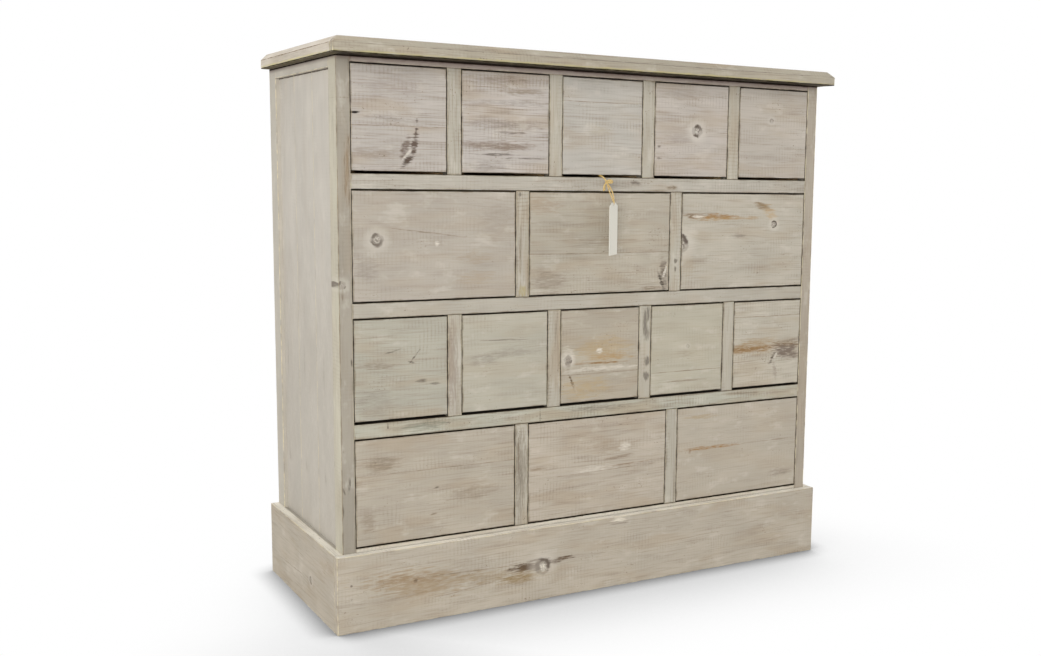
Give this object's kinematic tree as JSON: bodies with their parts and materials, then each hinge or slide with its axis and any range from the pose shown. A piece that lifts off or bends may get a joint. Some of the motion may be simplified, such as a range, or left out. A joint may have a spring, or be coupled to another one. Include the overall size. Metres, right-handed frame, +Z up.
{
  "type": "chest of drawers",
  "caption": "Floor-standing whitewashed pine seed chest: rows of small and wide inset drawers in a rail-and-post carcass on a plain plinth, under a bevelled top, with a blank swing tag.",
  "frame": {"origin": "on the floor under the cabinet, midway across its width and midway between the front edge of the top and the back", "axes": "+X to the right as seen from the front, -Y out of the drawer fronts, +Z up"},
  "size_m": [1, 0.41, 0.965],
  "materials": {
    "limed_pine": "limed (whitewashed) pine, brushed, dark-waxed in the gaps, matt",
    "raw_pine": "planed unfinished pine",
    "plywood": "sanded plywood",
    "zinc_steel": "zinc-plated steel",
    "tag_card": "uncoated card, blank",
    "raffia": "dry raffia"
  },
  "bodies": {
    "carcass": {"front_post_left": "limed_pine", "front_post_right": "limed_pine", "rear_posts": "limed_pine", "side_panel_left": "limed_pine", "side_panel_right": "limed_pine", "side_rails_left": "limed_pine", "side_rails_right": "limed_pine", "back_panel": "plywood", "back_rails": "limed_pine", "top_rail": "limed_pine", "rail_below_row_1": "limed_pine", "rail_below_row_2": "limed_pine", "rail_below_row_3": "limed_pine", "bottom_rail": "limed_pine", "dividers_small_rows": "limed_pine", "dividers_wide_rows": "limed_pine", "drawer_shelves": "plywood", "shelf_cleats": "raw_pine", "drawer_guides": "raw_pine", "top_board": "limed_pine", "top_moulding_front": "limed_pine", "top_moulding_sides": "limed_pine", "top_screws": "zinc_steel", "plinth_front": "limed_pine", "plinth_sides": "limed_pine"},
    "drawer_r1_c1": {"drawer_r1_c1_front": "limed_pine", "drawer_r1_c1_box": "raw_pine"},
    "drawer_r1_c2": {"drawer_r1_c2_front": "limed_pine", "drawer_r1_c2_box": "raw_pine"},
    "drawer_r1_c3": {"drawer_r1_c3_front": "limed_pine", "drawer_r1_c3_box": "raw_pine"},
    "drawer_r1_c4": {"drawer_r1_c4_front": "limed_pine", "drawer_r1_c4_box": "raw_pine"},
    "drawer_r1_c5": {"drawer_r1_c5_front": "limed_pine", "drawer_r1_c5_box": "raw_pine"},
    "drawer_r2_c1": {"drawer_r2_c1_front": "limed_pine", "drawer_r2_c1_box": "raw_pine"},
    "drawer_r2_c2": {"drawer_r2_c2_front": "limed_pine", "drawer_r2_c2_box": "raw_pine", "swing_tag": "tag_card", "tag_string": "raffia"},
    "drawer_r2_c3": {"drawer_r2_c3_front": "limed_pine", "drawer_r2_c3_box": "raw_pine"},
    "drawer_r3_c1": {"drawer_r3_c1_front": "limed_pine", "drawer_r3_c1_box": "raw_pine"},
    "drawer_r3_c2": {"drawer_r3_c2_front": "limed_pine", "drawer_r3_c2_box": "raw_pine"},
    "drawer_r3_c3": {"drawer_r3_c3_front": "limed_pine", "drawer_r3_c3_box": "raw_pine"},
    "drawer_r3_c4": {"drawer_r3_c4_front": "limed_pine", "drawer_r3_c4_box": "raw_pine"},
    "drawer_r3_c5": {"drawer_r3_c5_front": "limed_pine", "drawer_r3_c5_box": "raw_pine"},
    "drawer_r4_c1": {"drawer_r4_c1_front": "limed_pine", "drawer_r4_c1_box": "raw_pine"},
    "drawer_r4_c2": {"drawer_r4_c2_front": "limed_pine", "drawer_r4_c2_box": "raw_pine"},
    "drawer_r4_c3": {"drawer_r4_c3_front": "limed_pine", "drawer_r4_c3_box": "raw_pine"}
  },
  "joints": [
    {"name": "drawer_r1_c1_slide", "type": "slide", "parent": "carcass", "child": "drawer_r1_c1", "axis": [0, -1, 0], "range_m": [0, 0.26]},
    {"name": "drawer_r1_c2_slide", "type": "slide", "parent": "carcass", "child": "drawer_r1_c2", "axis": [0, -1, 0], "range_m": [0, 0.26]},
    {"name": "drawer_r1_c3_slide", "type": "slide", "parent": "carcass", "child": "drawer_r1_c3", "axis": [0, -1, 0], "range_m": [0, 0.26]},
    {"name": "drawer_r1_c4_slide", "type": "slide", "parent": "carcass", "child": "drawer_r1_c4", "axis": [0, -1, 0], "range_m": [0, 0.26]},
    {"name": "drawer_r1_c5_slide", "type": "slide", "parent": "carcass", "child": "drawer_r1_c5", "axis": [0, -1, 0], "range_m": [0, 0.26]},
    {"name": "drawer_r2_c1_slide", "type": "slide", "parent": "carcass", "child": "drawer_r2_c1", "axis": [0, -1, 0], "range_m": [0, 0.26]},
    {"name": "drawer_r2_c2_slide", "type": "slide", "parent": "carcass", "child": "drawer_r2_c2", "axis": [0, -1, 0], "range_m": [0, 0.26]},
    {"name": "drawer_r2_c3_slide", "type": "slide", "parent": "carcass", "child": "drawer_r2_c3", "axis": [0, -1, 0], "range_m": [0, 0.26]},
    {"name": "drawer_r3_c1_slide", "type": "slide", "parent": "carcass", "child": "drawer_r3_c1", "axis": [0, -1, 0], "range_m": [0, 0.26]},
    {"name": "drawer_r3_c2_slide", "type": "slide", "parent": "carcass", "child": "drawer_r3_c2", "axis": [0, -1, 0], "range_m": [0, 0.26]},
    {"name": "drawer_r3_c3_slide", "type": "slide", "parent": "carcass", "child": "drawer_r3_c3", "axis": [0, -1, 0], "range_m": [0, 0.26]},
    {"name": "drawer_r3_c4_slide", "type": "slide", "parent": "carcass", "child": "drawer_r3_c4", "axis": [0, -1, 0], "range_m": [0, 0.26]},
    {"name": "drawer_r3_c5_slide", "type": "slide", "parent": "carcass", "child": "drawer_r3_c5", "axis": [0, -1, 0], "range_m": [0, 0.26]},
    {"name": "drawer_r4_c1_slide", "type": "slide", "parent": "carcass", "child": "drawer_r4_c1", "axis": [0, -1, 0], "range_m": [0, 0.26]},
    {"name": "drawer_r4_c2_slide", "type": "slide", "parent": "carcass", "child": "drawer_r4_c2", "axis": [0, -1, 0], "range_m": [0, 0.26]},
    {"name": "drawer_r4_c3_slide", "type": "slide", "parent": "carcass", "child": "drawer_r4_c3", "axis": [0, -1, 0], "range_m": [0, 0.26]}
  ]
}
